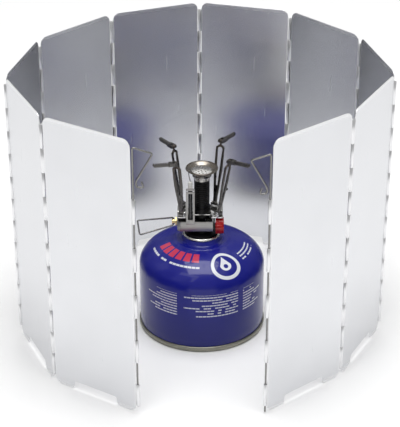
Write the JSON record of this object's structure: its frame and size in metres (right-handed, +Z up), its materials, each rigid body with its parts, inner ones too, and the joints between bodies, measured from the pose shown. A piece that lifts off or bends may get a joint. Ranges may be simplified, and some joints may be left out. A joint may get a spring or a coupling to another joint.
{
  "type": "camping stove",
  "caption": "Canister-top camping stove: screw-on burner with folding pot supports on a gas cartridge, inside a folding wire-hinged windscreen.",
  "frame": {"origin": "on the ground, midway along both sides of the standing windscreen", "axes": "+Z up; -Y faces the windscreen's front opening; +X to the right as seen from the front"},
  "size_m": [0.3154, 0.2973, 0.24],
  "materials": {
    "satin_aluminium": "satin, fine brushed",
    "stainless_wire": "drawn wire",
    "blue_lacquer": "gloss lacquer on tinplate",
    "tinplate": "rolled tinplate",
    "black_anodised": "black anodised, satin",
    "black_plastic": "matte",
    "rubber": "matte",
    "brushed_stainless": "brushed",
    "brass": "turned",
    "darkened_stainless": "heat darkened",
    "red_plastic": "gloss",
    "white_ceramic": "glazed ceramic"
  },
  "bodies": {
    "cartridge": {"cartridge_body": "blue_lacquer", "cartridge_base": "tinplate", "valve_cup": "tinplate", "valve_gasket": "rubber", "valve_stem": "stainless_wire", "valve_spring_seat": "tinplate", "valve_spring": "stainless_wire"},
    "burner": {"base_collar": "black_anodised", "seal_ring": "rubber", "bracket": "brushed_stainless", "valve_body": "black_anodised", "packing_nut": "brass", "gas_jet": "brass", "mixing_tube": "black_anodised", "neck_collar": "brushed_stainless", "burner_head": "brushed_stainless", "flame_plate": "brushed_stainless", "arm_carrier": "brushed_stainless", "igniter_frame": "brushed_stainless", "ceramic_insulator": "white_ceramic", "electrode": "stainless_wire", "piezo_unit": "black_plastic", "arm_pin_rear_left": "stainless_wire", "arm_pin_front_left": "stainless_wire", "arm_pin_rear_right": "stainless_wire", "arm_pin_front_right": "stainless_wire"},
    "valve": {"valve_spindle": "brass"},
    "handle": {"valve_handle": "stainless_wire"},
    "button": {"igniter_button": "red_plastic"},
    "arm_rear_left": {"pot_arm_rear_left": "darkened_stainless"},
    "foot_rear_left": {"pot_foot_rear_left": "darkened_stainless"},
    "arm_front_left": {"pot_arm_front_left": "darkened_stainless"},
    "foot_front_left": {"pot_foot_front_left": "darkened_stainless"},
    "arm_rear_right": {"pot_arm_rear_right": "darkened_stainless"},
    "foot_rear_right": {"pot_foot_rear_right": "darkened_stainless"},
    "arm_front_right": {"pot_arm_front_right": "darkened_stainless"},
    "foot_front_right": {"pot_foot_front_right": "darkened_stainless"},
    "plate_01": {"windscreen_plate_01": "satin_aluminium"},
    "plate_02": {"windscreen_plate_02": "satin_aluminium", "hinge_wire_1": "stainless_wire"},
    "plate_03": {"windscreen_plate_03": "satin_aluminium", "hinge_wire_2": "stainless_wire"},
    "plate_04": {"windscreen_plate_04": "satin_aluminium", "hinge_wire_3": "stainless_wire"},
    "plate_05": {"windscreen_plate_05": "satin_aluminium", "hinge_wire_4": "stainless_wire"},
    "plate_06": {"windscreen_plate_06": "satin_aluminium", "hinge_wire_6": "stainless_wire", "hinge_wire_5": "stainless_wire"},
    "plate_07": {"windscreen_plate_07": "satin_aluminium", "hinge_wire_7": "stainless_wire"},
    "plate_08": {"windscreen_plate_08": "satin_aluminium", "hinge_wire_8": "stainless_wire"},
    "plate_09": {"windscreen_plate_09": "satin_aluminium", "hinge_wire_9": "stainless_wire"},
    "plate_10": {"windscreen_plate_10": "satin_aluminium"},
    "peg_left": {"ground_peg_left": "stainless_wire"},
    "peg_right": {"ground_peg_right": "stainless_wire"}
  },
  "joints": [
    {"name": "burner_unscrew", "type": "hinge", "parent": "cartridge", "child": "burner", "pos_m": [0.0011, -0.0049, 0.088], "axis": [0, 0, 1], "range_deg": [0, 720]},
    {"name": "valve_turn", "type": "hinge", "parent": "burner", "child": "valve", "pos_m": [-0.0232, -0.0049, 0.0975], "axis": [-1, 0, 0], "range_deg": [0, 540]},
    {"name": "handle_fold", "type": "hinge", "parent": "valve", "child": "handle", "pos_m": [-0.0232, -0.0049, 0.0975], "axis": [0, 0, 1], "range_deg": [-95, 65]},
    {"name": "igniter_press", "type": "slide", "parent": "burner", "child": "button", "axis": [-1, 0, 0], "range_m": [0, 0.0016], "stiffness_N_per_m": 900, "springref_m": -0.0015},
    {"name": "arm_swing_rear_left", "type": "hinge", "parent": "burner", "child": "arm_rear_left", "pos_m": [-0.0157, 0.0031, 0.11], "axis": [0.5758, 0.8176, 0], "range_deg": [0, 5]},
    {"name": "foot_fold_rear_left", "type": "hinge", "parent": "arm_rear_left", "child": "foot_rear_left", "pos_m": [-0.0228, 0.0081, 0.162], "axis": [0.7986, 0.6018, 0], "range_deg": [0, 95]},
    {"name": "arm_swing_front_left", "type": "hinge", "parent": "burner", "child": "arm_front_left", "pos_m": [-0.0162, -0.0134, 0.11], "axis": [-0.9471, 0.321, 0], "range_deg": [0, 5]},
    {"name": "foot_fold_front_left", "type": "hinge", "parent": "arm_front_left", "child": "foot_front_left", "pos_m": [-0.0202, -0.0252, 0.162], "axis": [-0.1736, 0.9848, 0], "range_deg": [0, 95]},
    {"name": "arm_swing_rear_right", "type": "hinge", "parent": "burner", "child": "arm_rear_right", "pos_m": [0.0123, 0.0046, 0.11], "axis": [0.9404, -0.3401, 0], "range_deg": [0, 5]},
    {"name": "foot_fold_rear_right", "type": "hinge", "parent": "arm_rear_right", "child": "foot_rear_right", "pos_m": [0.0174, 0.0187, 0.162], "axis": [0.788, -0.6157, 0], "range_deg": [0, 95]},
    {"name": "arm_swing_front_right", "type": "hinge", "parent": "burner", "child": "arm_front_right", "pos_m": [0.0156, -0.0134, 0.11], "axis": [-0.6578, -0.7532, 0], "range_deg": [0, 5]},
    {"name": "foot_fold_front_right", "type": "hinge", "parent": "arm_front_right", "child": "foot_front_right", "pos_m": [0.0235, -0.0203, 0.162], "axis": [-0.4695, -0.8829, 0], "range_deg": [0, 95]},
    {"name": "screen_lift", "type": "slide", "parent": "cartridge", "child": "plate_06", "axis": [0, 0, 1], "range_m": [0, 0.18]},
    {"name": "screen_hinge_6", "type": "hinge", "parent": "plate_06", "child": "plate_07", "pos_m": [0.08015, 0.12442, 0], "axis": [0, 0, 1], "range_deg": [-2, 62]},
    {"name": "screen_hinge_7", "type": "hinge", "parent": "plate_07", "child": "plate_08", "pos_m": [0.13636, 0.062, 0], "axis": [0, 0, 1], "range_deg": [-2, 62]},
    {"name": "screen_hinge_8", "type": "hinge", "parent": "plate_08", "child": "plate_09", "pos_m": [0.15611, -0.01965, 0], "axis": [0, 0, 1], "range_deg": [-2, 62]},
    {"name": "screen_hinge_9", "type": "hinge", "parent": "plate_09", "child": "plate_10", "pos_m": [0.11628, -0.09361, 0], "axis": [0, 0, 1], "range_deg": [-2, 62]},
    {"name": "screen_hinge_5", "type": "hinge", "parent": "plate_06", "child": "plate_05", "pos_m": [-0.00072, 0.14715, 0], "axis": [0, 0, -1], "range_deg": [-2, 62]},
    {"name": "screen_hinge_4", "type": "hinge", "parent": "plate_05", "child": "plate_04", "pos_m": [-0.07903, 0.11678, 0], "axis": [0, 0, -1], "range_deg": [-2, 62]},
    {"name": "screen_hinge_3", "type": "hinge", "parent": "plate_04", "child": "plate_03", "pos_m": [-0.13707, 0.05605, 0], "axis": [0, 0, -1], "range_deg": [-2, 62]},
    {"name": "screen_hinge_2", "type": "hinge", "parent": "plate_03", "child": "plate_02", "pos_m": [-0.15611, -0.02577, 0], "axis": [0, 0, -1], "range_deg": [-2, 62]},
    {"name": "screen_hinge_1", "type": "hinge", "parent": "plate_02", "child": "plate_01", "pos_m": [-0.12087, -0.10202, 0], "axis": [0, 0, -1], "range_deg": [-2, 62]},
    {"name": "peg_left_pull", "type": "slide", "parent": "plate_01", "child": "peg_left", "axis": [0, 0, 1], "range_m": [-0.0056, 0.1894]},
    {"name": "peg_right_pull", "type": "slide", "parent": "plate_10", "child": "peg_right", "axis": [0, 0, 1], "range_m": [0, 0.195]}
  ]
}
